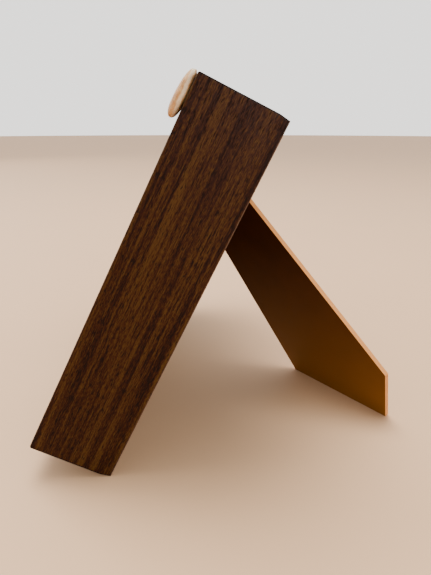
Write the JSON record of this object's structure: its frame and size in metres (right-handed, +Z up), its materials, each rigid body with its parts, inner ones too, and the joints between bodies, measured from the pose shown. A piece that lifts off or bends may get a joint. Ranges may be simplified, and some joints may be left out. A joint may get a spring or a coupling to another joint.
{
  "type": "digital photo frame",
  "caption": "Desk digital photo frame: deep mitred box frame leaning back on a hinged hardboard strut, with a display, electronics and a recessed port bay inside.",
  "frame": {"origin": "on the floor, under the middle of the whole object's box with the strut open", "axes": "+X to the viewer's right across the frame's width, -Y towards the viewer in front of the screen, +Z up"},
  "size_m": [0.24, 0.1863, 0.1803],
  "materials": {
    "walnut_foil": "dark walnut-pattern foil over MDF, satin",
    "hardboard": "brown hardboard, smooth face, raw tan edges",
    "steel_hardware": "zinc-plated steel",
    "brass_hardware": "brass-plated steel hinge and rivets",
    "pane": "clear float glass",
    "mat_card": "off-white mat board with a bevelled white core",
    "pebble": "smooth pale pebble, matte",
    "lcd_steel": "stamped steel",
    "lcd_screen": "liquid crystal cell under an anti-glare film",
    "optical_film": "white diffuser film",
    "acrylic": "clear acrylic",
    "white_film": "white reflector film",
    "black_plastic": "black moulded plastic, fine texture",
    "button_plastic": "dark grey moulded plastic, satin",
    "ribbon": "amber polyimide ribbon",
    "circuit_board": "green solder mask on glass-epoxy",
    "chip_black": "black moulding compound",
    "can_aluminium": "aluminium cans with a plastic sleeve",
    "cell_steel": "polished steel"
  },
  "bodies": {
    "frame": {"back_panel": "hardboard", "backlight_led_strip": "white_film", "board_screws": "steel_hardware", "board_standoffs": "brass_hardware", "bracket_screws": "steel_hardware", "bracket_wood_screws": "steel_hardware", "button_bezel": "black_plastic", "card_socket": "lcd_steel", "chassis_brackets": "steel_hardware", "chassis_plate": "steel_hardware", "coin_cell": "cell_steel", "coin_cell_holder": "black_plastic", "corner_v_nails": "steel_hardware", "dc_jack": "black_plastic", "display_ribbon_cable": "ribbon", "filter_capacitors": "can_aluminium", "glazing_pane": "pane", "hanger_plates": "steel_hardware", "hinge_leaf_panel": "brass_hardware", "hinge_pin": "brass_hardware", "lcd_front_bezel": "lcd_steel", "lcd_glass_cell": "lcd_screen", "lcd_rear_tray": "black_plastic", "light_guide": "acrylic", "main_board": "circuit_board", "mat_board": "mat_card", "memory_chips": "chip_black", "optical_films": "optical_film", "panel_rivets": "brass_hardware", "pebble_ornament": "pebble", "port_bay": "black_plastic", "port_bay_screws": "steel_hardware", "processor_chip": "chip_black", "rail_bottom": "walnut_foil", "rail_left": "walnut_foil", "rail_right": "walnut_foil", "rail_top": "walnut_foil", "reflector_sheet": "white_film", "speaker": "black_plastic", "status_light_pipe": "acrylic", "switch_bodies": "black_plastic", "turn_clip_screws": "steel_hardware", "usb_socket": "lcd_steel"},
    "strut": {"strut_leg": "hardboard", "hinge_leaf_strut": "brass_hardware", "strut_rivets": "brass_hardware"},
    "clip_top_right": {"turn_clip_top_right": "steel_hardware"},
    "clip_top_left": {"turn_clip_top_left": "steel_hardware"},
    "clip_left": {"turn_clip_left": "steel_hardware"},
    "clip_bottom": {"turn_clip_bottom": "steel_hardware"},
    "key_previous": {"button_previous": "button_plastic", "plunger_previous": "button_plastic"},
    "key_next": {"button_next": "button_plastic", "plunger_next": "button_plastic"},
    "key_select": {"button_select": "button_plastic", "plunger_select": "button_plastic"},
    "key_power": {"button_power": "button_plastic", "plunger_power": "button_plastic"}
  },
  "joints": [
    {"name": "strut_hinge", "type": "hinge", "parent": "frame", "child": "strut", "pos_m": [0.00029, 0.00041, 0.11271], "axis": [-0.7815, -0.2754, -0.5598], "range_deg": [0, 55.35]},
    {"name": "clip_top_right_turn", "type": "hinge", "parent": "frame", "child": "clip_top_right", "pos_m": [0.06, 0.02077, 0.15693], "axis": [0, 0.8973, -0.4415], "range_deg": [-90, 90]},
    {"name": "clip_top_left_turn", "type": "hinge", "parent": "frame", "child": "clip_top_left", "pos_m": [-0.06, 0.02077, 0.15693], "axis": [0, 0.8973, -0.4415], "range_deg": [-90, 90]},
    {"name": "clip_left_turn", "type": "hinge", "parent": "frame", "child": "clip_left", "pos_m": [-0.1158, 0.0032, 0.12122], "axis": [0, 0.8973, -0.4415], "range_deg": [-90, 90]},
    {"name": "clip_bottom_turn", "type": "hinge", "parent": "frame", "child": "clip_bottom", "pos_m": [-0.005, -0.05499, 0.00297], "axis": [0, 0.8973, -0.4415], "range_deg": [-90, 90]},
    {"name": "button_previous_press", "type": "slide", "parent": "frame", "child": "key_previous", "axis": [0, -0.8973, 0.4415], "range_m": [0, 0.0005], "stiffness_N_per_m": 800, "springref_m": -0.0006},
    {"name": "button_next_press", "type": "slide", "parent": "frame", "child": "key_next", "axis": [0, -0.8973, 0.4415], "range_m": [0, 0.0005], "stiffness_N_per_m": 800, "springref_m": -0.0006},
    {"name": "button_select_press", "type": "slide", "parent": "frame", "child": "key_select", "axis": [0, -0.8973, 0.4415], "range_m": [0, 0.0005], "stiffness_N_per_m": 800, "springref_m": -0.0006},
    {"name": "button_power_press", "type": "slide", "parent": "frame", "child": "key_power", "axis": [0, -0.8973, 0.4415], "range_m": [0, 0.0005], "stiffness_N_per_m": 800, "springref_m": -0.0006}
  ]
}
